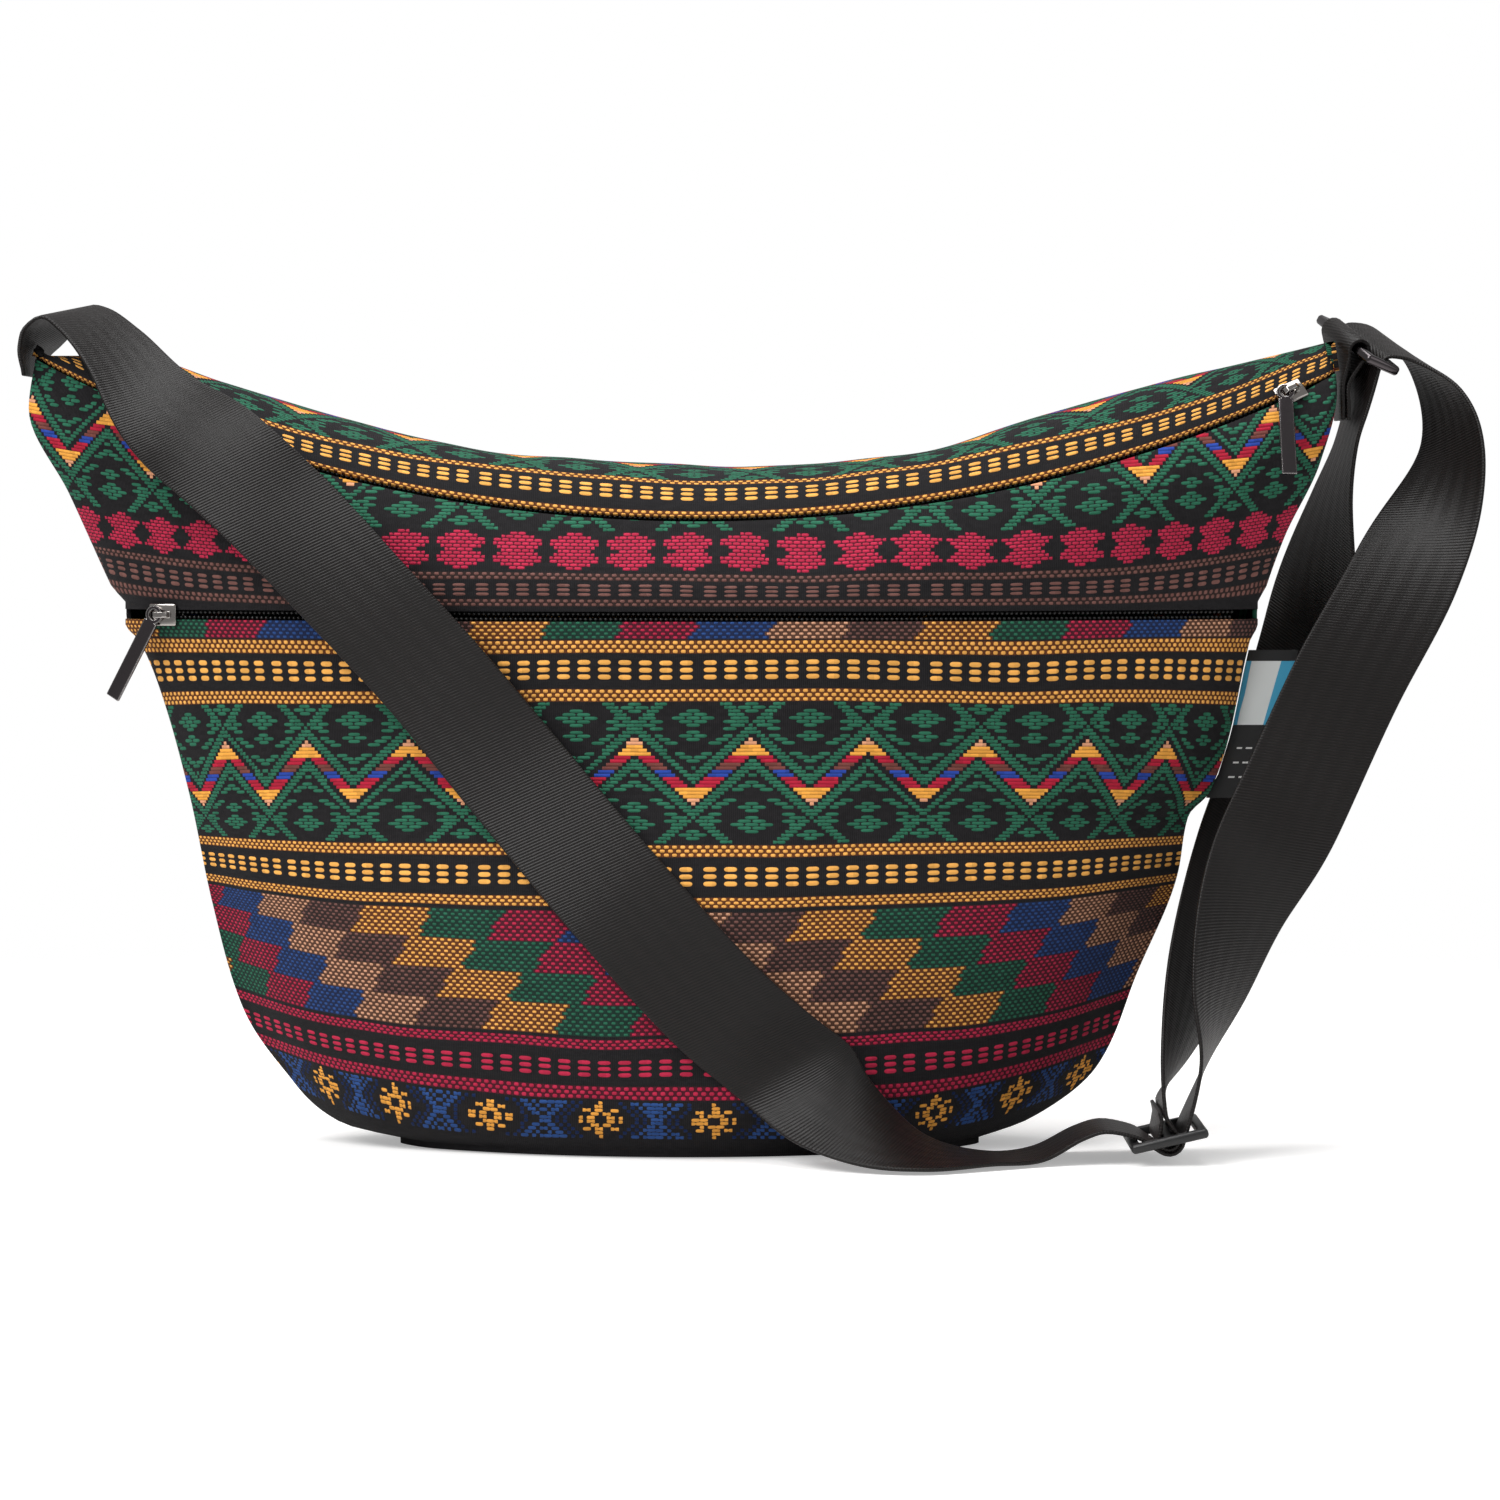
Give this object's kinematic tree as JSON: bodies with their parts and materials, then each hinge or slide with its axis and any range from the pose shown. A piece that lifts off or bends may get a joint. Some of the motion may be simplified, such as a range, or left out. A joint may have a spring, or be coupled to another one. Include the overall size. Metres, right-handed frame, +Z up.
{
  "type": "woven crossbody hobo bag",
  "caption": "Zip-topped crossbody hobo bag in banded brocade-woven cloth, with a zip pocket across the front and an adjustable black webbing strap.",
  "frame": {"origin": "underside of the flat base panel, in the plane of the side seams, where the bag stands", "axes": "+Z up, +X along the bag towards the tip with the strap ring, +Y out of its back"},
  "size_m": [0.4973, 0.1586, 0.2872],
  "materials": {
    "brocade": "matte",
    "black_cloth": "matte",
    "zip_black": "matte",
    "belt_webbing": "satin",
    "gunmetal": "gloss",
    "label_cloth": "matte"
  },
  "bodies": {
    "bag": {"pocket_panel": "brocade", "front_upper_panel": "brocade", "back_panel": "brocade", "base_panel": "black_cloth", "pocket_lining": "black_cloth", "pocket_zip_tape_upper": "zip_black", "pocket_zip_tape_lower": "zip_black", "pocket_zip_coil_upper": "zip_black", "pocket_zip_coil_lower": "zip_black", "main_zip_tape_back": "zip_black", "main_zip_tape_front": "zip_black", "main_zip_coil_back": "zip_black", "main_zip_coil_front": "zip_black", "right_anchor_loop": "belt_webbing", "strap_ring": "gunmetal", "adjuster": "gunmetal", "shoulder_strap": "belt_webbing", "side_label": "label_cloth"},
    "pocket_slider_body": {"pocket_slider": "gunmetal"},
    "pocket_pull_body": {"pocket_pull": "gunmetal"},
    "main_slider_body": {"main_slider": "gunmetal"},
    "main_pull_body": {"main_pull": "gunmetal"}
  },
  "joints": [
    {"name": "pocket_slider_run", "type": "hinge", "parent": "bag", "child": "pocket_slider_body", "pos_m": [-0.02098, 0.4004, 0.1825], "axis": [0, 0, 1], "range_deg": [0, 46.8]},
    {"name": "pocket_pull_swing", "type": "hinge", "parent": "pocket_slider_body", "child": "pocket_pull_body", "pos_m": [-0.20426, -0.01633, 0.1825], "axis": [0.3979, 0.9174, 0], "range_deg": [-60, 50]},
    {"name": "main_slider_run", "type": "hinge", "parent": "bag", "child": "main_slider_body", "pos_m": [-0.018, 0.19328, 0.58222], "axis": [0, 0.848, -0.5299], "range_deg": [0, 38]},
    {"name": "main_pull_swing", "type": "hinge", "parent": "main_slider_body", "child": "main_pull_body", "pos_m": [0.18192, -0.01248, 0.25832], "axis": [0, 0.848, -0.5299], "range_deg": [-50, 40]}
  ]
}
